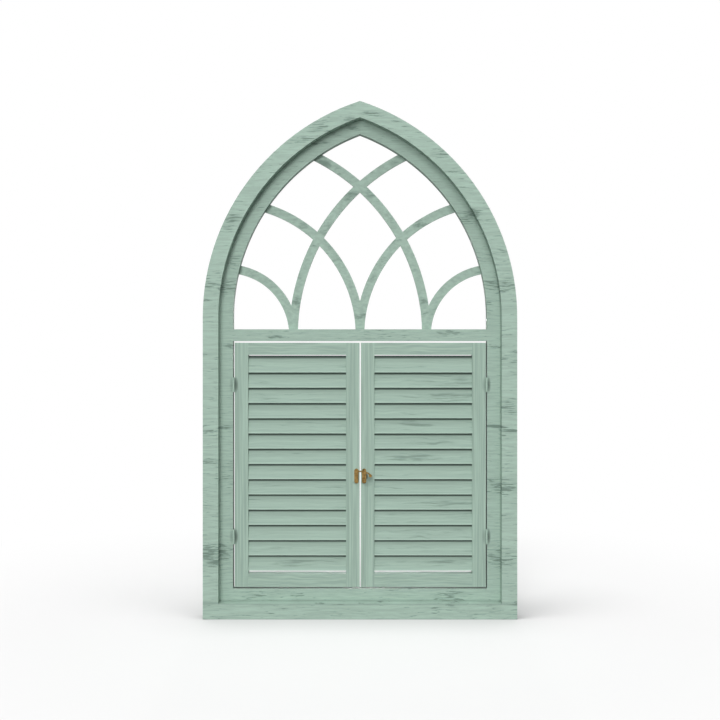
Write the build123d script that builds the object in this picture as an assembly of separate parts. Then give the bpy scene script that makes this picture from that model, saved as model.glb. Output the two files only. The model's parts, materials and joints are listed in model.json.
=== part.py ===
from build123d import *
import math
import os

# Pointed-arch window frame in painted wood: a raised border on a panel, interlacing tracery in the arch,
# and a pair of louvred shutter doors on butt hinges, held by a swing-hook latch.
# The origin is on the floor under the middle of the frame. +Z is up and the front faces -Y.

# Outline: straight sides below a two-centred pointed arch.
width = 610.0
springing_height = 586.0
arch_radius = 441.0

# Border ring, laid on the front of the panel.
border_width = 30.0
border_thickness = 20.0

# Panel, with the arch opening above the mid rail and the door opening below it.
panel_thickness = 18.0
panel_margin = 26.2
sill_margin = 25.0
rail_drop = 22.8
rail_height = 22.9

# Tracery, one fretted sheet in a rebate at the back of the panel.
tracery_thickness = 6.0
tracery_rim = 8.0
bar_width = 17.0
post_pitch = 131.2
arcs_per_side = 3
centre_step_count = 2

# Doors, flush with the face of the panel.
door_thickness = 18.0
left_hinge_gap = 3.3
right_hinge_gap = 2.3
meeting_gap = 2.4
door_top_gap = 3.4
door_bottom_gap = 3.2
stile_width = 26.6
top_rail_height = 23.8
bottom_rail_height = 26.4
tenon_length = 14.0
tenon_thickness = 6.0
tenon_shoulder = 4.0
wood_clearance = 0.1

# Slats, housed in slots in the stiles, with their lower edges forward.
slat_count = 14
slat_width = 33.75
slat_thickness = 4.5
slat_tilt_degrees = 12.0
slat_setback = 0.4
slat_top_gap = 1.3
slat_bottom_gap = 4.9
slat_housing = 8.0
slat_end_clearance = 0.2

# Butt hinges, with their leaves in the side gaps and their barrels in front of the doors.
hinge_length = 28.5
leaf_thickness = 0.9
leaf_reach = 14.0
pin_radius = 1.1
barrel_standoff = 1.6
running_clearance = 0.05
knuckle_count = 3
knuckle_clearance = 0.2
upper_hinge_drop = 82.3
lower_hinge_rise = 99.0

# Latch plates on the lock stiles.
latch_rise = 217.8
plate_length = 29.0
plate_width = 8.4
plate_thickness = 2.0
plate_setback = 2.1

# Swing hook, on a shouldered rivet on the right plate, with its claw over a stud on the left plate.
pivot_rise = 5.0
hook_thickness = 1.5
hook_standoff = 0.8
hook_bar_width = 2.5
hook_eye_radius = 2.7
hook_rise = 4.3
hook_claw_degrees = 120.0
tail_reach = 12.2
tail_drop = 4.2
tail_middle_share = 0.6
tail_rise_share = 0.1
tip_radius = 3.1
rivet_radius = 1.2
rivet_head_radius = 2.2
rivet_head_height = 0.9
stud_radius = 1.5
stud_head_radius = 2.4
stud_head_height = 0.9
stud_clearance = 0.35

# Every cut runs past the face that it leaves by this much.
overrun = 5.0

# Places worked out from the sizes above.
half_width = width / 2
arc_centre_x = half_width - arch_radius
depth = border_thickness + panel_thickness
border_front = -depth / 2
panel_front = border_front + border_thickness
panel_back = panel_front + panel_thickness
opening_inset = border_width + panel_margin
opening_half = half_width - opening_inset
opening_bottom = border_width + sill_margin
rail_top = springing_height - rail_drop
rail_bottom = rail_top - rail_height
rail_middle = rail_bottom + rail_height / 2
rim_inset = opening_inset - tracery_rim
rim_bottom = rail_top - tracery_rim
door_bottom = opening_bottom + door_bottom_gap
door_top = rail_bottom - door_top_gap
door_back = panel_front + door_thickness
door_middle_y = panel_front + door_thickness / 2
door_width = (2 * opening_half - left_hinge_gap - right_hinge_gap - meeting_gap) / 2
louvre_bottom = door_bottom + bottom_rail_height
louvre_top = door_top - top_rail_height
slat_tilt = math.radians(slat_tilt_degrees)
slat_rise = slat_width * math.cos(slat_tilt) + slat_thickness * math.sin(slat_tilt)
slat_depth = slat_width * math.sin(slat_tilt) + slat_thickness * math.cos(slat_tilt)
slat_middle_y = panel_front + slat_setback + slat_depth / 2
slat_travel = louvre_top - louvre_bottom - slat_top_gap - slat_bottom_gap - slat_rise
slat_pitch = slat_travel / (slat_count - 1)
first_slat_height = louvre_top - slat_top_gap - slat_rise / 2
barrel_radius = pin_radius + running_clearance + leaf_thickness
hinge_axis_y = panel_front - barrel_standoff - barrel_radius
knuckle_pitch = hinge_length / knuckle_count
plate_front = panel_front - plate_thickness
hook_back = plate_front - hook_standoff
hook_front = hook_back - hook_thickness
latch_height = door_bottom + latch_rise
pivot_height = latch_height + pivot_rise
hinge_heights = {"upper": door_top - upper_hinge_drop, "lower": door_bottom + lower_hinge_rise}
hinge_gaps = {"left": left_hinge_gap, "right": right_hinge_gap}
sides = {"left": -1, "right": 1}


def front_plane(y):
    """Plane across the front of the part at depth y, with its normal towards the viewer."""
    return Plane(origin=(0, y, 0), x_dir=(1, 0, 0), z_dir=(0, -1, 0))


def plate_between(face, front_y, back_y):
    """Flat sheet of the given outline between two depths."""
    return extrude(front_plane(back_y) * face, amount=back_y - front_y)


def block(corner, opposite):
    """Box between two opposite corners, given in any order."""
    low = [min(a, b) for a, b in zip(corner, opposite)]
    size = [abs(a - b) for a, b in zip(corner, opposite)]
    return Pos(*low) * Box(*size, align=(Align.MIN, Align.MIN, Align.MIN))


def rod_y(x, y_front, y_back, z, radius):
    """Round bar along Y."""
    return Pos(x, (y_front + y_back) / 2, z) * Rot(90, 0, 0) * Cylinder(radius, y_back - y_front)


def rod_z(x, y, z_bottom, z_top, radius):
    """Round bar along Z."""
    return Pos(x, y, (z_bottom + z_top) / 2) * Cylinder(radius, z_top - z_bottom)


def arch_face(inset, base):
    """Pointed-arch outline, moved in from the outside by inset and standing on base."""
    radius = arch_radius - inset
    half = half_width - inset
    turn = math.degrees(math.acos(-arc_centre_x / radius))
    right_arc = CenterArc((arc_centre_x, springing_height), radius, 0, turn)
    left_arc = CenterArc((-arc_centre_x, springing_height), radius, 180 - turn, turn)
    sides_and_base = Polyline((-half, springing_height), (-half, base), (half, base), (half, springing_height))
    return make_face(Curve() + [sides_and_base, right_arc, left_arc])


def build_border():
    """Raised ring round the whole outline."""
    ring = arch_face(0, 0) - arch_face(border_width, border_width)
    return plate_between(ring, border_front, panel_front)


def build_panel():
    """Sheet with the arch and door openings, and a rebate at the back for the tracery."""
    door_opening = Pos(0, (opening_bottom + rail_bottom) / 2) * Rectangle(
        2 * opening_half, rail_bottom - opening_bottom
    )
    outline = arch_face(0, 0) - arch_face(opening_inset, rail_top) - door_opening
    rebate = arch_face(rim_inset - wood_clearance, rim_bottom - wood_clearance)
    solid = plate_between(outline, panel_front, panel_back)
    return solid - plate_between(rebate, panel_back - tracery_thickness, panel_back + overrun)


def build_tracery():
    """Fretted sheet: a hidden rim and bars on two families of evenly stepped arcs."""
    bars = Sketch()
    for side in sides.values():
        centre = Pos(side * centre_step_count * post_pitch, rail_middle)
        for step in range(1, arcs_per_side + 1):
            outer = Circle(step * post_pitch + bar_width / 2)
            inner = Circle(step * post_pitch - bar_width / 2)
            bars += centre * (outer - inner)
    panes = arch_face(opening_inset, rail_top) - bars
    sheet = arch_face(rim_inset, rim_bottom) - panes
    return plate_between(sheet, panel_back - tracery_thickness, panel_back)


def door_places(name):
    """Places across the door: hinge edge, lock edge, and the two sides of its louvre."""
    side = sides[name]
    hinge_edge = side * (opening_half - hinge_gaps[name])
    lock_edge = hinge_edge - side * door_width
    return hinge_edge, lock_edge, hinge_edge - side * stile_width, lock_edge + side * stile_width


def louvre_bar(index, x_start, x_end, clearance):
    """Tilted bar at a slat's place in the louvre, or the slot for it when the clearance isn't zero."""
    section = Rectangle(slat_thickness + 2 * clearance, slat_width + 2 * clearance)
    height = first_slat_height - index * slat_pitch
    plane = Plane(origin=(min(x_start, x_end), slat_middle_y, height), x_dir=(0, 1, 0), z_dir=(1, 0, 0))
    return extrude(plane * Rot(0, 0, -slat_tilt_degrees) * section, amount=abs(x_end - x_start))


def tenon(x_start, x_end, bottom, top, clearance):
    """Tongue of a rail, or the mortise for it when the clearance isn't zero."""
    y_reach = tenon_thickness / 2 + clearance
    low = (x_start, door_middle_y - y_reach, bottom + tenon_shoulder - clearance)
    high = (x_end, door_middle_y + y_reach, top - tenon_shoulder + clearance)
    return block(low, high)


def build_stile(outer_edge, inner_edge):
    """Upright of a door, with the slats' slots and the rails' mortises in its inner edge."""
    solid = block((outer_edge, panel_front, door_bottom), (inner_edge, door_back, door_top))
    into = math.copysign(1, outer_edge - inner_edge)
    slot_end = inner_edge + into * slat_housing
    for index in range(slat_count):
        solid -= louvre_bar(index, inner_edge, slot_end, wood_clearance)
    mortise_end = inner_edge + into * (tenon_length + wood_clearance)
    for bottom, top in ((door_bottom, louvre_bottom), (louvre_top, door_top)):
        solid -= tenon(inner_edge, mortise_end, bottom, top, wood_clearance)
    return solid


def build_rail(name, bottom, top):
    """Cross bar of a door, with a tenon at each end."""
    hinge_edge, lock_edge, hinge_inner, lock_inner = door_places(name)
    side = sides[name]
    solid = block((hinge_inner, panel_front, bottom), (lock_inner, door_back, top))
    hinge_end = hinge_inner + side * tenon_length
    lock_end = lock_inner - side * tenon_length
    return solid + tenon(hinge_end, lock_end, bottom, top, 0)


def build_slat(name, index):
    """Louvre slat, with its ends inside the stiles' slots."""
    hinge_edge, lock_edge, hinge_inner, lock_inner = door_places(name)
    housed = sides[name] * (slat_housing - slat_end_clearance)
    return louvre_bar(index, hinge_inner + housed, lock_inner - housed, 0)


def hinge_axis_x(name):
    """Middle of the gap beside a door, where its hinge pins stand."""
    return sides[name] * (opening_half - hinge_gaps[name] / 2)


def knuckle(name, height, index):
    """Round length of a hinge's barrel, a little short of its place so that it turns freely."""
    bottom = height - hinge_length / 2 + index * knuckle_pitch
    ends = (bottom + knuckle_clearance / 2, bottom + knuckle_pitch - knuckle_clearance / 2)
    return rod_z(hinge_axis_x(name), hinge_axis_y, *ends, barrel_radius)


def build_leaf(name, height, mounted_on, into, own_first):
    """Hinge leaf on the face at x = mounted_on, notched for the other leaf's knuckles."""
    bottom = height - hinge_length / 2
    plate_face = mounted_on - into * leaf_thickness
    far_corner = (plate_face, panel_front + leaf_reach, bottom + hinge_length)
    leaf = block((mounted_on, hinge_axis_y, bottom), far_corner)
    notch_back = hinge_axis_y + barrel_radius + knuckle_clearance
    for index in range(knuckle_count):
        if index % 2 == own_first:
            leaf += knuckle(name, height, index)
        else:
            low = bottom + index * knuckle_pitch
            near = (mounted_on + into * overrun, hinge_axis_y - overrun, low)
            far = (plate_face - into * overrun, notch_back, low + knuckle_pitch)
            leaf -= block(near, far)
    bore_ends = (bottom - overrun, bottom + hinge_length + overrun)
    return leaf - rod_z(hinge_axis_x(name), hinge_axis_y, *bore_ends, pin_radius + running_clearance)


def build_frame_leaf(name, level):
    """Leaf on the edge of the panel's door opening."""
    side = sides[name]
    return build_leaf(name, hinge_heights[level], side * opening_half, side, 0)


def build_door_leaf(name, level):
    """Leaf on the edge of a door."""
    return build_leaf(name, hinge_heights[level], door_places(name)[0], -sides[name], 1)


def hinge_pins():
    """Pin of every hinge, as long as its barrel."""
    pins = []
    for name in sides:
        for height in hinge_heights.values():
            bottom = height - hinge_length / 2
            pins.append(rod_z(hinge_axis_x(name), hinge_axis_y, bottom, bottom + hinge_length, pin_radius))
    return Compound(children=pins)


def plate_middle(name):
    """Middle of a latch plate across the lock stile."""
    lock_edge = door_places(name)[1]
    return lock_edge + sides[name] * (plate_setback + plate_width / 2)


def build_latch_plate(name):
    """Round-ended plate on a lock stile."""
    outline = Pos(plate_middle(name), latch_height) * SlotOverall(plate_length, plate_width, rotation=90)
    return plate_between(outline, plate_front, panel_front)


def build_stud():
    """Headed stud on the left plate, which the hook's claw drops over."""
    x = plate_middle("left")
    neck_front = hook_front - stud_clearance
    neck = rod_y(x, neck_front, plate_front, pivot_height, stud_radius)
    return neck + rod_y(x, neck_front - stud_head_height, neck_front, pivot_height, stud_head_radius)


def build_rivet():
    """Shouldered rivet on the right plate, which the hook turns on."""
    x = plate_middle("right")
    head_back = hook_front - running_clearance
    rivet = rod_y(x, head_back, plate_front, pivot_height, rivet_radius)
    rivet += rod_y(x, hook_back + running_clearance, plate_front, pivot_height, rivet_head_radius)
    return rivet + rod_y(x, head_back - rivet_head_height, head_back, pivot_height, rivet_head_radius)


def build_hook():
    """Hook with an eye on the rivet, an arched bar to a claw round the stud, and a tail with a finger tip."""
    pivot_x = plate_middle("right")
    stud_x = plate_middle("left")
    claw_radius = stud_radius + stud_clearance + hook_bar_width / 2
    claw_top = (stud_x, pivot_height + claw_radius)
    crown = ((pivot_x + stud_x) / 2, pivot_height + hook_rise)
    eye_top = (pivot_x, pivot_height + hook_bar_width / 2)
    tip = (pivot_x + tail_reach, pivot_height - tail_drop)
    tail_middle_height = eye_top[1] - tail_rise_share * tail_drop
    tail_middle = (pivot_x + tail_middle_share * tail_reach, tail_middle_height)
    bar = SlotArc(ThreePointArc(claw_top, crown, eye_top), hook_bar_width)
    claw = SlotArc(CenterArc((stud_x, pivot_height), claw_radius, 90, hook_claw_degrees), hook_bar_width)
    tail = SlotArc(ThreePointArc(eye_top, tail_middle, tip), hook_bar_width)
    eye = Pos(pivot_x, pivot_height) * Circle(hook_eye_radius)
    outline = bar + claw + tail + eye + Pos(*tip) * Circle(tip_radius)
    outline -= Pos(pivot_x, pivot_height) * Circle(rivet_radius + running_clearance)
    return plate_between(outline, hook_front, hook_back)


def door_nodes(name):
    """Every piece of one door and its hinges, by node name."""
    hinge_edge, lock_edge, hinge_inner, lock_inner = door_places(name)
    nodes = {
        f"{name}_hinge_stile": build_stile(hinge_edge, hinge_inner),
        f"{name}_lock_stile": build_stile(lock_edge, lock_inner),
        f"{name}_top_rail": build_rail(name, louvre_top, door_top),
        f"{name}_bottom_rail": build_rail(name, door_bottom, louvre_bottom),
    }
    for index in range(slat_count):
        nodes[f"{name}_slat_{index + 1:02d}"] = build_slat(name, index)
    for level in hinge_heights:
        nodes[f"{level}_{name}_frame_leaf"] = build_frame_leaf(name, level)
        nodes[f"{level}_{name}_door_leaf"] = build_door_leaf(name, level)
    return nodes


nodes = {
    "raised_border": build_border(),
    "arch_panel": build_panel(),
    "tracery": build_tracery(),
    "hinge_pins": hinge_pins(),
    "keeper_plate": build_latch_plate("left"),
    "keeper_stud": build_stud(),
    "latch_plate": build_latch_plate("right"),
    "latch_rivet": build_rivet(),
    "latch_hook": build_hook(),
}
for door_name in sides:
    nodes.update(door_nodes(door_name))

os.makedirs("parts", exist_ok=True)
for node_name, solid in nodes.items():
    export_step(solid, f"parts/{node_name}.step")
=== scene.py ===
import json
import math

import bmesh
import bpy
from mathutils import Matrix, Vector


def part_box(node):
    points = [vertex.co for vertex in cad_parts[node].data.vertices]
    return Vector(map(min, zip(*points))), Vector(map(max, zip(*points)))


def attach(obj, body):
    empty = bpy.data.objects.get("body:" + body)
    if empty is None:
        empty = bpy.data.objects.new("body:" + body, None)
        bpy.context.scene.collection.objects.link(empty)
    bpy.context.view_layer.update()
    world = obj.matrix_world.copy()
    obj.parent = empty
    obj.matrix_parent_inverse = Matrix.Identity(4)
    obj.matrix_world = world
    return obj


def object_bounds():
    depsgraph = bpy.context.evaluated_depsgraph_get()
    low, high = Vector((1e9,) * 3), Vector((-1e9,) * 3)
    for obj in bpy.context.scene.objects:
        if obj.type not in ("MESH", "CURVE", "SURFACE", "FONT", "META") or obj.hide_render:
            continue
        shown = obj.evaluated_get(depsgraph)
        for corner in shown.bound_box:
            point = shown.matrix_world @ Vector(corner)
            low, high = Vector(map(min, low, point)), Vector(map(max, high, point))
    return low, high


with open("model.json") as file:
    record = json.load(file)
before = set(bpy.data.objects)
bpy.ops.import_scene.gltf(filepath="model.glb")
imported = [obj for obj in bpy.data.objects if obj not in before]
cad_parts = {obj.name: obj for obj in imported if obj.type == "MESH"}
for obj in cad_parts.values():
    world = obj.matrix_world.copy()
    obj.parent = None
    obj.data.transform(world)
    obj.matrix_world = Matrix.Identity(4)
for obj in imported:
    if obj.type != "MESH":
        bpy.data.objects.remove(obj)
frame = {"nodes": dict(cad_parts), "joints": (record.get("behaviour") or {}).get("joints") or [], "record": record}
cad_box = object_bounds()

SIDES = ("left", "right")
LEVELS = ("upper", "lower")

# Camera, in metres and degrees: level, straight in front of the middle of the frame.
CAMERA_DISTANCE = 1.9392
CAMERA_HEIGHT = 0.50303
CAMERA_TILT = 90.0
LENS_MM = 50.0
SENSOR_MM = 36.0

# Colours of the paint, linear: the light and dark tones of the brush lines.
MINT = (0.387, 0.526, 0.443, 1.0)
DEEP_MINT = (0.308, 0.419, 0.353, 1.0)
FRAME_MINT = (0.392, 0.533, 0.449, 1.0)
FRAME_DEEP_MINT = (0.317, 0.431, 0.364, 1.0)
STRIPE_MINT = (0.398, 0.541, 0.455, 1.0)
DARK_MINT = (0.288, 0.392, 0.330, 1.0)
# The slats' tones are darker copies of the paint: painted shade that offsets the extra light on their upturned
# faces.
SLAT_SHADED_MINT = (0.366, 0.498, 0.419, 1.0)
SLAT_SHADED_DEEP_MINT = (0.316, 0.430, 0.362, 1.0)

# Colours, linear: of the worn streaks, also used for painted shade inside the border and low on the slats,
# and of the painted shade in corners, under the slats and rail and along the ledge, and the painted shadows by the
# hinges and latch.
STREAK_AND_SHADE = (0.120, 0.185, 0.150, 1.0)
PAINTED_SHADE = (0.030, 0.046, 0.038, 1.0)

# Painted shade in the corners: its reach in metres, its share, and the openness over which it fades, which is
# lower on the slats.
PAINTED_SHADE_REACH = 0.006
PAINTED_SHADE_SHARE = 0.68
PAINTED_SHADE_SAMPLES = 8
CORNER_OPENNESS = (0.10, 0.66)
CREVICE_OPENNESS = (0.05, 0.50)

# Painted shade inside the border: the depths over which it sets in, in metres, and its share.
RECESS_SHADE_DEPTH = (-0.002, 0.0005)
RECESS_SHADE_SHARE = 0.085

# Matt surface of the paint, and the relief of its brush lines in metres.
PAINT_ROUGHNESS = 0.62
ROUGHNESS_SPREAD = 0.06
PAINT_SPECULAR = 0.3
GRAIN_BUMP_SHARE = 0.35
GRAIN_BUMP_DEPTH = 0.0004

# Noise: its middle value, the detail and roughness of lines and streaks, and the range of the brush lines.
NOISE_MIDDLE = 0.5
LINE_DETAIL = 3.0
WEAR_DETAIL = 4.0
FINE_ROUGHNESS = 0.6
LINE_RANGE = (0.30, 0.70)

# Waves of the brush lines, and the broad clouds of thinner paint, in metres and repeats a metre.
LINE_SWAY = 0.010
SWAY_FREQUENCY = (16.0, 16.0, 20.0)
CLOUD_FREQUENCY = (6.0, 6.0, 18.0)
CLOUD_PUSH = 0.21
WEAR_PUSH = 0.28
SMUDGE_FREQUENCY = (45.0, 45.0, 90.0)
SMUDGE_RANGE = (0.35, 0.75)

# Worn places on the frame's face, in metres: middle across, middle up, half length, half height, strength.
FRAME_WEAR = (
    (-0.018, 0.971, 0.022, 0.006, 0.7),
    (0.020, 0.981, 0.020, 0.005, 1.0),
    (-0.085, 0.956, 0.022, 0.010, 0.8),
    (-0.113, 0.931, 0.026, 0.007, 0.8),
    (-0.020, 0.958, 0.024, 0.006, 0.9),
    (-0.055, 0.946, 0.016, 0.005, 0.8),
    (-0.084, 0.928, 0.020, 0.006, 0.8),
    (0.158, 0.903, 0.020, 0.006, 0.7),
    (0.190, 0.862, 0.018, 0.008, 0.5),
    (-0.246, 0.777, 0.016, 0.009, 1.1),
    (-0.252, 0.760, 0.016, 0.006, 0.7),
    (0.212, 0.782, 0.022, 0.014, 1.0),
    (0.244, 0.774, 0.022, 0.005, 0.8),
    (-0.245, 0.700, 0.012, 0.014, 0.6),
    (-0.270, 0.646, 0.045, 0.015, 0.9),
    (0.268, 0.650, 0.040, 0.013, 0.8),
    (-0.298, 0.620, 0.012, 0.003, 1.1),
    (0.250, 0.605, 0.020, 0.012, 0.5),
    (-0.165, 0.549, 0.016, 0.004, 1.3),
    (0.172, 0.556, 0.018, 0.005, 1.1),
    (0.020, 0.552, 0.060, 0.008, 0.3),
    (-0.257, 0.530, 0.016, 0.004, 1.1),
    (0.261, 0.529, 0.020, 0.005, 0.9),
    (0.290, 0.508, 0.020, 0.014, 0.7),
    (0.292, 0.412, 0.020, 0.015, 0.9),
    (-0.292, 0.366, 0.016, 0.003, 1.3),
    (-0.262, 0.371, 0.014, 0.004, 1.1),
    (0.262, 0.373, 0.020, 0.0026, 2.2),
    (0.292, 0.366, 0.020, 0.0026, 2.0),
    (-0.292, 0.307, 0.016, 0.005, 1.0),
    (-0.260, 0.280, 0.018, 0.024, 0.6),
    (0.276, 0.256, 0.034, 0.016, 1.0),
    (-0.282, 0.124, 0.030, 0.020, 1.2),
    (0.270, 0.116, 0.030, 0.022, 0.8),
    (-0.195, 0.042, 0.036, 0.008, 0.7),
    (0.176, 0.040, 0.030, 0.016, 0.9),
    (-0.124, 0.040, 0.012, 0.008, 0.7),
    (0.140, 0.020, 0.026, 0.004, 0.3),
)

# Dark smears on the slats, given in the same way.
SLAT_WEAR = (
    (0.185, 0.457, 0.070, 0.007, 0.9),
    (0.190, 0.430, 0.070, 0.007, 1.4),
    (0.105, 0.378, 0.035, 0.006, 0.8),
    (0.137, 0.341, 0.050, 0.006, 1.1),
    (0.104, 0.311, 0.060, 0.005, 1.1),
    (0.170, 0.222, 0.080, 0.007, 0.9),
    (0.125, 0.164, 0.050, 0.006, 0.8),
    (0.175, 0.105, 0.060, 0.007, 0.9),
    (-0.120, 0.379, 0.060, 0.005, 0.6),
    (-0.110, 0.104, 0.070, 0.006, 0.7),
)

# Dark places on the tracery, given in the same way.
TRACERY_WEAR = (
    (-0.125, 0.616, 0.012, 0.010, 0.6),
    (0.125, 0.616, 0.012, 0.010, 0.6),
    (-0.055, 0.737, 0.014, 0.010, 0.8),
    (0.055, 0.737, 0.014, 0.010, 0.8),
    (-0.020, 0.829, 0.018, 0.010, 0.7),
    (0.020, 0.829, 0.018, 0.010, 0.7),
    (-0.112, 0.770, 0.014, 0.008, 0.7),
    (0.112, 0.770, 0.014, 0.008, 0.7),
    (-0.072, 0.890, 0.014, 0.007, 0.9),
    (0.072, 0.890, 0.014, 0.007, 0.9),
    (0.0, 0.590, 0.016, 0.005, 0.8),
)

# Brushed paints. tones are the two colours of the brush lines, and lines and streaks say how often each
# repeats a metre. bare is the range over which a streak wears through, and share is how dark it gets.
# patches are the worn places, and smudge is how dark their soft clouds get. crispness is how far the streaks
# stand out from each other, and slats adds the painted shade and the painted highlight of a slat.
PAINTS = {
    "frame_paint": {
        "tones": (FRAME_MINT, FRAME_DEEP_MINT),
        "lines": (22.0, 22.0, 300.0),
        "streaks": (38.0, 38.0, 420.0),
        "bare": (0.64, 0.90),
        "share": 0.84,
        "patches": FRAME_WEAR,
        "smudge": 0.28,
        "crispness": 1.8,
    },
    "tracery_paint": {
        "tones": (MINT, DEEP_MINT),
        "lines": (90.0, 90.0, 160.0),
        "streaks": (45.0, 45.0, 120.0),
        "bare": (0.55, 0.82),
        "share": 0.75,
        "patches": TRACERY_WEAR,
        "smudge": 0.42,
    },
    "stile_paint": {
        "tones": (STRIPE_MINT, DARK_MINT),
        "lines": (330.0, 300.0, 6.0),
        "streaks": (170.0, 110.0, 8.0),
        "bare": (0.55, 0.95),
        "share": 0.5,
    },
    "rail_paint": {
        "tones": (STRIPE_MINT, DARK_MINT),
        "lines": (12.0, 12.0, 330.0),
        "streaks": (14.0, 14.0, 260.0),
        "bare": (0.56, 0.95),
        "share": 0.6,
    },
    "slat_paint": {
        "tones": (SLAT_SHADED_MINT, SLAT_SHADED_DEEP_MINT),
        "lines": (9.0, 300.0, 300.0),
        "streaks": (14.0, 110.0, 200.0),
        "bare": (0.60, 0.95),
        "share": 0.6,
        "patches": SLAT_WEAR,
        "smudge": 0.12,
        "crispness": 1.5,
        "slats": True,
    },
}

# Whole pitches added to the drop below the first slat's edge, so that the remainder is never below zero.
SPARE_PITCHES = 2

# Painted shade on a slat under the slat or rail above it: where it thins out, in metres, and its strength.
CREVICE_SHADE_REACH = (0.0019, 0.0050)
CREVICE_SHADE_STRENGTH = 0.92
TOP_CREVICE_SHADE_REACH = (0.0030, 0.0080)
TOP_CREVICE_SHADE_STRENGTH = 0.90

# Painted shade towards a slat's lower edge: where it sets in below the edge above, in metres, and its share.
NOSE_SHADE_REACH = (0.012, 0.026)
NOSE_SHADE_SHARE = 0.13

# Painted highlight on a slat's lower edge: where it thins out above the edge, in metres, and its strength.
EDGE_HIGHLIGHT_MINT = (0.500, 0.660, 0.565, 1.0)
EDGE_HIGHLIGHT_REACH = (0.0028, 0.0042)
EDGE_HIGHLIGHT_SHARE = 0.28

# Painted shadows on the stiles beside and under the latch, and painted shade on the edges of its plates,
# given as worn places are.
LATCH_SHADOW = (
    (0.0130, 0.2745, 0.0024, 0.0052, 1.15),
    (0.0190, 0.2690, 0.0062, 0.0066, 0.46),
    (-0.0080, 0.2632, 0.0050, 0.0030, 0.45),
    (0.0075, 0.2632, 0.0055, 0.0034, 0.50),
    (0.0150, 0.2620, 0.0075, 0.0060, 0.25),
)
LATCH_PLATE_SHADE = (
    (-0.0029, 0.2740, 0.0011, 0.0095, 0.75),
    (0.0031, 0.2740, 0.0011, 0.0095, 0.75),
    (0.0070, 0.2885, 0.0030, 0.0022, 0.65),
    (-0.0080, 0.2630, 0.0040, 0.0014, 0.50),
    (0.0080, 0.2630, 0.0040, 0.0014, 0.50),
)

# Painted shade along the ledge at the bottom of the recess, given as worn places are.
LEDGE_SHADE = ((0.0, 0.0310, 0.60, 0.0030, 0.26),)

# Painted shadows beside the hinge barrels, in metres: distance from the axis, half width, share of the leaf's
# height, and the strength on each side.
HINGE_SHADOW_OFFSET = 0.0040
HINGE_SHADOW_HALF_WIDTH = 0.0034
HINGE_SHADOW_HEIGHT_SHARE = 0.42
HINGE_SHADOW_LEFT_STRENGTH = 0.30
HINGE_SHADOW_RIGHT_STRENGTH = 0.75

# Depth in metres at which the painted shadows of the hinges and latch and the painted shade of the ledge end.
SHADE_MARK_DEPTH = 0.008

# Paint on the hinges: repeats a metre, range and share of its brush lines and of its small chips.
HINGE_LINES = (500.0, 500.0, 160.0)
HINGE_LINE_RANGE = (0.35, 0.7)
HINGE_LINE_SHARE = 0.5
HINGE_CHIPS = (900.0, 900.0, 700.0)
HINGE_CHIP_RANGE = (0.62, 0.74)
HINGE_CHIP_SHARE = 0.6

# Metal colours, linear.
BRASS = (0.215, 0.142, 0.052, 1.0)
BRASS_DARK = (0.098, 0.058, 0.018, 1.0)
# Painted shade for the brass plates.
BRASS_SHADE = (0.040, 0.026, 0.011, 1.0)
STEEL = (0.50, 0.50, 0.48, 1.0)
STEEL_DARK = (0.30, 0.30, 0.28, 1.0)

# Metals: bright and dark colour, repeats of the mottle a metre, least roughness and places of painted shade.
METALS = {
    "pin_steel": (STEEL, STEEL_DARK, (300.0, 300.0, 60.0), 0.35, ()),
    "latch_brass": (BRASS, BRASS_DARK, (230.0, 230.0, 200.0), 0.45, LATCH_PLATE_SHADE),
}
MOTTLE_DETAIL = 4.0
MOTTLE_RANGE = (0.38, 0.66)

# Scratches in a metal: repeats as multiples of the mottle's, range, and relief in metres.
SCRATCH_STRETCH = (4.0, 4.0, 0.5)
SCRATCH_RANGE = (0.3, 0.7)
SCRATCH_BUMP_SHARE = 0.25
SCRATCH_BUMP_DEPTH = 0.0001
SCRATCH_ROUGHNESS = 0.15

# Small fasteners, in metres, spread by shares of the height of their leaf or plate.
LEAF_THICKNESS = 0.0009
LEAF_SCREW_SHARE = 0.3
SCREW_HEAD_RADIUS = 0.0021
SCREW_HEAD_HEIGHT = 0.00011
SCREW_SLOT_WIDTH = 0.0005
SCREW_SLOT_FLOOR = 0.00003
NAIL_HEAD_RADIUS = 0.00105
NAIL_HEAD_HEIGHT = 0.0005
NAIL_SPREAD_SHARE = 0.33

# Steps round a head, and from the rim of a domed one to its top.
ROUND_SEGMENTS = 32
DOME_RINGS = 6

# Studio lights: strength, and in degrees the width of the soft disc, the bearing to the right of straight in
# front, and the height above the floor.
LIGHTS = {
    "low_light": (1.25, 26.0, -11.9, 6.6),
    "middle_light": (0.92, 26.0, -3.0, 30.0),
    "high_light": (0.50, 26.0, -3.0, 50.0),
    "left_light": (1.38, 22.0, -60.0, 72.0),
    "right_light": (0.75, 28.0, 52.0, 67.0),
    "top_light": (0.25, 8.0, -156.0, 87.2),
    "back_light": (0.50, 28.0, 180.0, 82.0),
    "rear_light": (1.50, 4.0, 180.0, 2.0),
}
WHITE = (1.0, 1.0, 1.0, 1.0)
DOME_STRENGTH = 0.13

# Floor, in metres and linear colour.
FLOOR_HALF = 20.0
FLOOR_GAP = 0.0002
FLOOR_WHITE = (0.71, 0.71, 0.71, 1.0)
FLOOR_SHADE = (0.0, 0.0, 0.0, 1.0)
FLOOR_BOUNCE = (0.15, 0.15, 0.15, 1.0)
FLOOR_FADE = (0.45, 1.25)

# Shade of the floor where the frame stands: its reach in metres and its share.
CONTACT_REACH = 0.15
CONTACT_SHARE = 0.45
CONTACT_SAMPLES = 16

# Sockets of a Mix node that carry colours.
MIX_FIRST = 6
MIX_SECOND = 7
MIX_RESULT = 2


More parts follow.
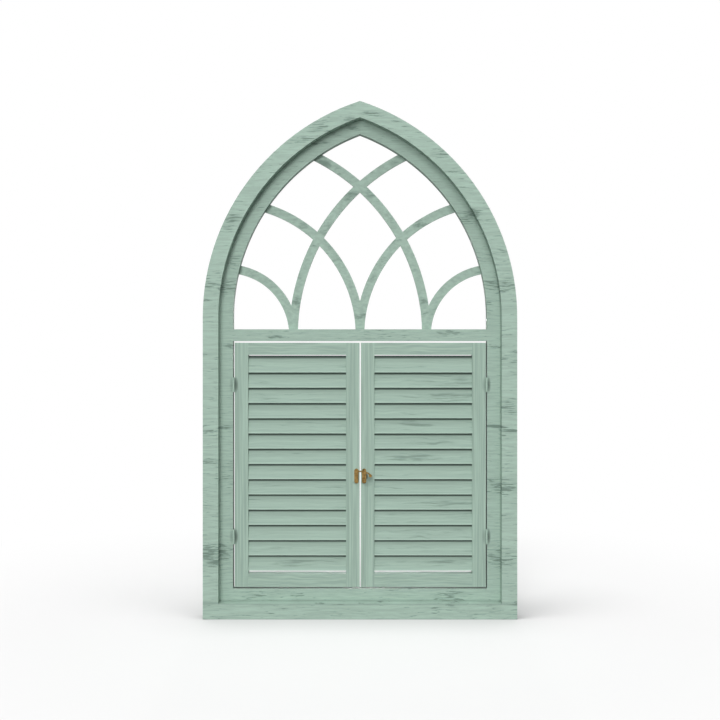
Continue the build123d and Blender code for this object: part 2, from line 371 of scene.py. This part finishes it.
class Tree:
    """Node tree of a material or the world, with short calls for the nodes that the finishes share."""

    def __init__(self, owner):
        owner.use_nodes = True
        self.nodes = owner.node_tree.nodes
        self.links = owner.node_tree.links
        self.nodes.clear()

    def add(self, kind, inputs, **settings):
        """New node of the given kind, with its settings and inputs; inputs that are sockets are linked."""
        node = self.nodes.new(kind)
        for name, value in settings.items():
            setattr(node, name, value)
        for name, value in inputs.items():
            if isinstance(value, bpy.types.NodeSocket):
                self.links.new(value, node.inputs[name])
            else:
                node.inputs[name].default_value = value
        return node

    def place(self):
        """Point on the piece in metres, which moves with the piece."""
        return self.add("ShaderNodeTexCoord", {}).outputs["Object"]

    def along(self, place, axis):
        """Coordinate of a point along an axis."""
        return self.add("ShaderNodeSeparateXYZ", {0: place}).outputs[axis]

    def math(self, operation, first, second=0.0, third=0.0, clamp=False):
        """Result of a Math node."""
        inputs = {0: first, 1: second, 2: third}
        return self.add("ShaderNodeMath", inputs, operation=operation, use_clamp=clamp).outputs[0]

    def vector(self, operation, first, second, output="Vector"):
        """Result of a Vector Math node."""
        return self.add("ShaderNodeVectorMath", {0: first, 1: second}, operation=operation).outputs[output]

    def noise(self, place, frequency, detail=2.0, roughness=0.5):
        """Noise between about 0 and 1 that repeats so many times a metre along each axis."""
        stretched = self.vector("MULTIPLY", place, frequency)
        inputs = {"Vector": stretched, "Scale": 1.0, "Detail": detail, "Roughness": roughness}
        return self.add("ShaderNodeTexNoise", inputs).outputs["Fac"]

    def ramp(self, value, low, high, to_low=0.0, to_high=1.0):
        """Value eased from one range to another."""
        inputs = {"Value": value, "From Min": low, "From Max": high, "To Min": to_low, "To Max": to_high}
        return self.add("ShaderNodeMapRange", inputs, interpolation_type="SMOOTHSTEP").outputs["Result"]

    def mix(self, share, first, second):
        """Colour between two others."""
        inputs = {"Factor": share, MIX_FIRST: first, MIX_SECOND: second}
        return self.add("ShaderNodeMix", inputs, data_type="RGBA").outputs[MIX_RESULT]

    def openness(self, reach, samples):
        """How open the surroundings are within reach, from 0 in a corner to 1."""
        return self.add("ShaderNodeAmbientOcclusion", {"Distance": reach}, samples=samples).outputs["AO"]

    def relief(self, height, share, depth):
        """Surface direction with the given relief."""
        inputs = {"Strength": share, "Distance": depth, "Height": height}
        return self.add("ShaderNodeBump", inputs).outputs["Normal"]

    def blend(self, share, first, second):
        """Shader between those of two nodes."""
        return self.add("ShaderNodeMixShader", {0: share, 1: first.outputs[0], 2: second.outputs[0]})

    def output(self, shader, kind="ShaderNodeOutputMaterial"):
        """Sends a node's shader to the tree's surface."""
        self.add(kind, {"Surface": shader.outputs[0]})


def new_material(name):
    """Empty material and its tree."""
    material = bpy.data.materials.new(name)
    return material, Tree(material)


def wear_and_shade_mask(tree, place, patches):
    """Largest strength at a point of the given places of wear and of painted shade, whatever its depth; it is half
    at a place's rim.
    """
    strongest = 0.0
    for across, up, half_length, half_height, strength in patches:
        offset = tree.vector("SUBTRACT", place, (across, 0.0, up))
        scaled = tree.vector("MULTIPLY", offset, (1 / half_length, 0.0, 1 / half_height))
        square = tree.vector("DOT_PRODUCT", scaled, scaled, "Value")
        falloff = tree.math("MULTIPLY_ADD", square, -strength / 2, strength)
        strongest = tree.math("MAXIMUM", falloff, strongest)
    return strongest


def hinge_axis(side):
    """How far across the frame a door's hinge axis lies."""
    joint = next(row for row in frame["joints"] if row["name"] == f"{side}_door_hinge")
    return joint["pos_m"][0]


def hinge_shade_places():
    """Places of the painted shadows beside the hinge barrels, given as worn places are."""
    shade_places = []
    for side in SIDES:
        for level in LEVELS:
            low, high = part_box(f"{level}_{side}_frame_leaf")
            half_height = HINGE_SHADOW_HEIGHT_SHARE * (high.z - low.z)
            middle = (low.z + high.z) / 2
            for turn, strength in ((-1, HINGE_SHADOW_LEFT_STRENGTH), (1, HINGE_SHADOW_RIGHT_STRENGTH)):
                across = hinge_axis(side) + turn * HINGE_SHADOW_OFFSET
                shade_places.append((across, middle, HINGE_SHADOW_HALF_WIDTH, half_height, strength))
    return shade_places


def slat_tone(tree, place, colour):
    """Colour of a slat with painted shade at the top of its face and towards its lower edge, and a painted
    highlight on the edge.
    """
    first_low, first_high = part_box("left_slat_01")
    pitch = first_low.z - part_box("left_slat_02")[0].z
    height = tree.along(place, "Z")
    drop = tree.math("SUBTRACT", first_low.z, height)
    under_slat = tree.math("MODULO", tree.math("ADD", drop, SPARE_PITCHES * pitch), pitch)
    under_rail = tree.math("SUBTRACT", first_high.z, height)
    # Painted shade towards the lower edge of the face.
    colour = tree.mix(tree.ramp(under_slat, *NOSE_SHADE_REACH, 0.0, NOSE_SHADE_SHARE), colour, STREAK_AND_SHADE)
    above_edge = tree.math("SUBTRACT", pitch, under_slat)
    # Painted highlight on the lower edge.
    colour = tree.mix(tree.ramp(above_edge, *EDGE_HIGHLIGHT_REACH, EDGE_HIGHLIGHT_SHARE, 0.0), colour, EDGE_HIGHLIGHT_MINT)
    # Painted shade at the top of the face, under the slat or rail above.
    shade_marks = tree.ramp(under_slat, *CREVICE_SHADE_REACH, CREVICE_SHADE_STRENGTH, 0.0)
    shade_marks = tree.math("MULTIPLY", shade_marks, tree.math("GREATER_THAN", drop, 0.0))
    top_shade_marks = tree.ramp(under_rail, *TOP_CREVICE_SHADE_REACH, TOP_CREVICE_SHADE_STRENGTH, 0.0)
    return tree.mix(tree.math("MAXIMUM", shade_marks, top_shade_marks), colour, PAINTED_SHADE)


def finish_paint(material, tree, place, colour, grain, openness=CORNER_OPENNESS):
    """Matt paint of the given colour, with painted shade inside the border and in corners, and its grain in
    relief.
    """
    depth = tree.along(place, "Y")
    # Painted shade inside the border.
    colour = tree.mix(tree.ramp(depth, *RECESS_SHADE_DEPTH, 0.0, RECESS_SHADE_SHARE), colour, STREAK_AND_SHADE)
    # Painted shade in corners, where the surroundings are closed.
    opened = tree.openness(PAINTED_SHADE_REACH, PAINTED_SHADE_SAMPLES)
    corner_shade = tree.ramp(opened, *openness, PAINTED_SHADE_SHARE, 0.0)
    smooth = PAINT_ROUGHNESS - ROUGHNESS_SPREAD
    rough = PAINT_ROUGHNESS + ROUGHNESS_SPREAD
    shader = tree.add(
        "ShaderNodeBsdfPrincipled",
        {
            "Base Color": tree.mix(corner_shade, colour, PAINTED_SHADE),
            "Roughness": tree.ramp(grain, *LINE_RANGE, rough, smooth),
            "Specular IOR Level": PAINT_SPECULAR,
            "Normal": tree.relief(grain, GRAIN_BUMP_SHARE, GRAIN_BUMP_DEPTH),
        },
    )
    tree.output(shader)
    return material


def wavy_place(tree, place):
    """Point swayed a little up and down, so that long lines aren't ruled straight."""
    wander = tree.math("SUBTRACT", tree.noise(place, SWAY_FREQUENCY), NOISE_MIDDLE)
    sway = tree.math("MULTIPLY", wander, LINE_SWAY)
    shift = tree.add("ShaderNodeCombineXYZ", {"Z": sway}).outputs["Vector"]
    return tree.vector("ADD", place, shift)


def brushed_paint(
    name, tones, lines, streaks, bare, share, patches=(), shade_places=(), smudge=0.0, crispness=1.0, slats=False
):
    """Paint with brush lines between two tones, dark streaks that gather at the worn places, and painted shade.

    The given shade places carry painted shadows and painted shade, and the comment at PAINTS explains the other
    settings.
    """
    material, tree = new_material(name)
    place = tree.place()
    wavy = wavy_place(tree, place)
    grain = tree.noise(wavy, lines, LINE_DETAIL, FINE_ROUGHNESS)
    clouds = tree.math("SUBTRACT", tree.noise(place, CLOUD_FREQUENCY), NOISE_MIDDLE)
    wear = wear_and_shade_mask(tree, place, patches)
    fine = tree.noise(wavy, streaks, WEAR_DETAIL, FINE_ROUGHNESS)
    crisp = tree.math("MULTIPLY_ADD", fine, crispness, (1 - crispness) * NOISE_MIDDLE)
    push = tree.math("MULTIPLY_ADD", wear, WEAR_PUSH, crisp)
    worn = tree.ramp(tree.math("MULTIPLY_ADD", clouds, CLOUD_PUSH, push), *bare, 0.0, share)
    colour = tree.mix(tree.ramp(grain, *LINE_RANGE), *tones)
    if smudge:
        soft = tree.ramp(tree.noise(place, SMUDGE_FREQUENCY), *SMUDGE_RANGE, 0.0, smudge)
        colour = tree.mix(tree.math("MULTIPLY", wear, soft, clamp=True), colour, STREAK_AND_SHADE)
    colour = tree.mix(worn, colour, STREAK_AND_SHADE)
    # Painted shadows and painted shade at the given places, on faces near the front only.
    if shade_places:
        in_front = tree.math("LESS_THAN", tree.along(place, "Y"), SHADE_MARK_DEPTH)
        shade_marks = tree.math("MULTIPLY", wear_and_shade_mask(tree, place, shade_places), in_front)
        colour = tree.mix(shade_marks, colour, PAINTED_SHADE)
    if slats:
        colour = slat_tone(tree, place, colour)
    openness = CREVICE_OPENNESS if slats else CORNER_OPENNESS
    return finish_paint(material, tree, place, colour, grain, openness)


def hinge_paint(name):
    """Paint brushed over metal, thin in small spots."""
    material, tree = new_material(name)
    place = tree.place()
    grain = tree.noise(place, HINGE_LINES, LINE_DETAIL)
    chips = tree.noise(place, HINGE_CHIPS)
    body = tree.mix(tree.ramp(grain, *HINGE_LINE_RANGE, 0.0, HINGE_LINE_SHARE), MINT, DEEP_MINT)
    colour = tree.mix(tree.ramp(chips, *HINGE_CHIP_RANGE, 0.0, HINGE_CHIP_SHARE), body, STREAK_AND_SHADE)
    return finish_paint(material, tree, place, colour, grain)


def metal(name, bright, dark, frequency, roughness, shaded_places):
    """Worn metal, mottled between a bright and a dark colour, with painted shade on the given places."""
    material, tree = new_material(name)
    place = tree.place()
    mottle = tree.noise(place, frequency, MOTTLE_DETAIL, FINE_ROUGHNESS)
    finer = [repeats * stretch for repeats, stretch in zip(frequency, SCRATCH_STRETCH)]
    scratches = tree.noise(place, finer)
    colour = tree.mix(tree.ramp(mottle, *MOTTLE_RANGE), bright, dark)
    # Painted shade on the given places.
    if shaded_places:
        colour = tree.mix(wear_and_shade_mask(tree, place, shaded_places), colour, BRASS_SHADE)
    shader = tree.add(
        "ShaderNodeBsdfPrincipled",
        {
            "Base Color": colour,
            "Metallic": 1.0,
            "Roughness": tree.ramp(scratches, *SCRATCH_RANGE, roughness, roughness + SCRATCH_ROUGHNESS),
            "Normal": tree.relief(scratches, SCRATCH_BUMP_SHARE, SCRATCH_BUMP_DEPTH),
        },
    )
    tree.output(shader)
    return material


def dress_nodes():
    """Gives every CAD node the finish of its material slot, and returns the finishes."""
    shade_places = hinge_shade_places()
    # Painted shadows of the hinges and latch, and painted shade along the ledge.
    shade_marks = {"frame_paint": (*shade_places, *LEDGE_SHADE), "stile_paint": (*shade_places, *LATCH_SHADOW)}
    finishes = {"hinge_paint": hinge_paint("hinge_paint")}
    for slot, settings in PAINTS.items():
        finishes[slot] = brushed_paint(slot, shade_places=shade_marks.get(slot, ()), **settings)
    for slot, settings in METALS.items():
        finishes[slot] = metal(slot, *settings)
    for row in frame["record"]["subparts"]:
        node = frame["nodes"][row["node"]]
        node.data.materials.clear()
        node.data.materials.append(finishes[row["material_slot"]])
    return finishes


def add_piece(name, build, finish, body):
    """New piece of the built mesh, which rides on a body."""
    mesh = bpy.data.meshes.new(name)
    build.to_mesh(mesh)
    build.free()
    mesh.materials.append(finish)
    piece = bpy.data.objects.new(name, mesh)
    bpy.context.scene.collection.objects.link(piece)
    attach(piece, body)


def facing(origin, direction):
    """Placement at origin with its Z axis along the direction."""
    turn = Vector((0, 0, 1)).rotation_difference(direction)
    return Matrix.Translation(origin) @ turn.to_matrix().to_4x4()


def circle(radius):
    """Points of a flat circle."""
    turns = [2 * math.pi * step / ROUND_SEGMENTS for step in range(ROUND_SEGMENTS)]
    return [(radius * math.cos(turn), radius * math.sin(turn)) for turn in turns]


def half_disc(radius, inset, side):
    """Outline of the part of a disc that lies beyond a straight cut."""
    start = math.asin(inset / radius)
    span = math.pi - 2 * start
    steps = ROUND_SEGMENTS // 2
    angles = [start + span * step / steps for step in range(steps + 1)]
    return [(side * radius * math.cos(angle), side * radius * math.sin(angle)) for angle in angles]


def join_rings(build, lower, upper):
    """Wall of faces between two rings with as many points."""
    for index in range(len(lower)):
        after = (index + 1) % len(lower)
        build.faces.new((lower[index], lower[after], upper[after], upper[index]))


def add_prism(build, outline, low, high, placement):
    """Closed prism of a flat outline between two heights."""
    bottom = [build.verts.new(placement @ Vector((x, y, low))) for x, y in outline]
    top = [build.verts.new(placement @ Vector((x, y, high))) for x, y in outline]
    build.faces.new(list(reversed(bottom)))
    build.faces.new(top)
    join_rings(build, bottom, top)


def add_screw_head(build, placement):
    """Flat screw head with a straight slot."""
    add_prism(build, circle(SCREW_HEAD_RADIUS), 0.0, SCREW_SLOT_FLOOR, placement)
    for side in (-1, 1):
        outline = half_disc(SCREW_HEAD_RADIUS, SCREW_SLOT_WIDTH / 2, side)
        add_prism(build, outline, SCREW_SLOT_FLOOR, SCREW_HEAD_HEIGHT, placement)


def add_nail_head(build, placement):
    """Low domed nail head."""
    rings = []
    for ring in range(DOME_RINGS):
        rise = math.pi / 2 * ring / DOME_RINGS
        height = NAIL_HEAD_HEIGHT * math.sin(rise)
        points = [Vector((x, y, height)) for x, y in circle(NAIL_HEAD_RADIUS * math.cos(rise))]
        rings.append([build.verts.new(placement @ point) for point in points])
    build.faces.new(list(reversed(rings[0])))
    for lower, upper in zip(rings, rings[1:]):
        join_rings(build, lower, upper)
    build.faces.new(rings[-1])


def pair(low, high, share):
    """Two heights, each away from the middle by a share of the span."""
    middle = (low + high) / 2
    reach = share * (high - low)
    return middle - reach, middle + reach


def hinge_places(side):
    """Faces in the gap of a door's frame leaf and door leaf, and the direction that the frame leaf faces."""
    low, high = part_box(f"{side}_hinge_stile")
    door_edge = low.x if side == "left" else high.x
    inward = 1 if side == "left" else -1
    jamb = 2 * hinge_axis(side) - door_edge
    return jamb + inward * LEAF_THICKNESS, door_edge - inward * LEAF_THICKNESS, inward


def add_leaf_screws(finish):
    """Two slotted screws in each hinge leaf."""
    panel_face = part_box("arch_panel")[0].y
    for side in SIDES:
        frame_face, door_face, inward = hinge_places(side)
        leaves = (
            ("frame_leaf", frame_face, inward, "frame"),
            ("door_leaf", door_face, -inward, f"{side}_door"),
        )
        for level in LEVELS:
            for leaf, face, facing_x, body in leaves:
                low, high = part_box(f"{level}_{side}_{leaf}")
                middle_y = (panel_face + high.y) / 2
                build = bmesh.new()
                for height in pair(low.z, high.z, LEAF_SCREW_SHARE):
                    centre = Vector((face, middle_y, height))
                    add_screw_head(build, facing(centre, Vector((facing_x, 0, 0))))
                add_piece(f"{level}_{side}_{leaf}_screws", build, finish, body)


def add_plate_nails(finish):
    """Two round-headed nails in each latch plate."""
    for plate, body in (("keeper_plate", "left_door"), ("latch_plate", "right_door")):
        low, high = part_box(plate)
        middle_x = (low.x + high.x) / 2
        build = bmesh.new()
        for height in pair(low.z, high.z, NAIL_SPREAD_SHARE):
            add_nail_head(build, facing(Vector((middle_x, low.y, height)), Vector((0, -1, 0))))
        add_piece(f"{plate}_nails", build, finish, body)


def add_camera():
    """Camera at the photograph's place."""
    camera = bpy.data.objects.new("camera", bpy.data.cameras.new("camera"))
    camera.data.lens = LENS_MM
    camera.data.sensor_width = SENSOR_MM
    camera.location = (0, cad_box[0][1] - CAMERA_DISTANCE, CAMERA_HEIGHT)
    camera.rotation_euler = (math.radians(CAMERA_TILT), 0, 0)
    bpy.context.scene.collection.objects.link(camera)
    bpy.context.scene.camera = camera


def add_sun(name, strength, width, bearing, height):
    """Distant soft light that shines from the given bearing and height."""
    lamp = bpy.data.lights.new(name, "SUN")
    lamp.energy = strength
    lamp.angle = math.radians(width)
    turn = math.radians(bearing)
    rise = math.radians(height)
    level = math.cos(rise)
    towards = Vector((level * math.sin(turn), -level * math.cos(turn), math.sin(rise)))
    sun = bpy.data.objects.new(name, lamp)
    sun.rotation_euler = towards.to_track_quat("Z", "Y").to_euler()
    bpy.context.scene.collection.objects.link(sun)


def seen_directly(tree):
    """One where the camera, a reflection or a refraction sees the surface, and zero for bounced light."""
    path = tree.add("ShaderNodeLightPath", {}).outputs
    seen = tree.math("ADD", path["Is Camera Ray"], path["Is Glossy Ray"])
    return tree.math("ADD", seen, path["Is Transmission Ray"], clamp=True)


def light_world():
    """White surroundings that light the object only a little."""
    world = bpy.data.worlds.new("studio")
    bpy.context.scene.world = world
    tree = Tree(world)
    dome = tree.add("ShaderNodeBackground", {"Color": WHITE, "Strength": DOME_STRENGTH})
    white = tree.add("ShaderNodeBackground", {"Color": WHITE, "Strength": 1.0})
    tree.output(tree.blend(seen_directly(tree), dome, white), "ShaderNodeOutputWorld")


def floor_finish():
    """White that keeps the shadow near the object, runs out into white and bounces little light."""
    material, tree = new_material("floor")
    distance = tree.vector("LENGTH", tree.place(), (0, 0, 0), "Value")
    opened = tree.openness(CONTACT_REACH, CONTACT_SAMPLES)
    contact = tree.math("MULTIPLY_ADD", opened, -CONTACT_SHARE, CONTACT_SHARE)
    near = tree.add("ShaderNodeBsdfDiffuse", {"Color": tree.mix(contact, FLOOR_WHITE, FLOOR_SHADE)})
    far = tree.add("ShaderNodeEmission", {"Color": WHITE, "Strength": 1.0})
    shown = tree.blend(tree.ramp(distance, *FLOOR_FADE), near, far)
    bounce = tree.add("ShaderNodeBsdfDiffuse", {"Color": FLOOR_BOUNCE})
    tree.output(tree.blend(seen_directly(tree), bounce, shown))
    return material


def add_floor():
    """Flat floor under the object."""
    mesh = bpy.data.meshes.new("floor")
    build = bmesh.new()
    bmesh.ops.create_grid(build, x_segments=1, y_segments=1, size=FLOOR_HALF)
    build.to_mesh(mesh)
    build.free()
    mesh.materials.append(floor_finish())
    floor = bpy.data.objects.new("floor", mesh)
    floor.location.z = -FLOOR_GAP
    bpy.context.scene.collection.objects.link(floor)


finishes = dress_nodes()
add_leaf_screws(finishes["pin_steel"])
add_plate_nails(finishes["latch_brass"])
add_camera()
for light_name, light in LIGHTS.items():
    add_sun(light_name, *light)
light_world()
add_floor()
bpy.context.scene.view_settings.view_transform = "Standard"
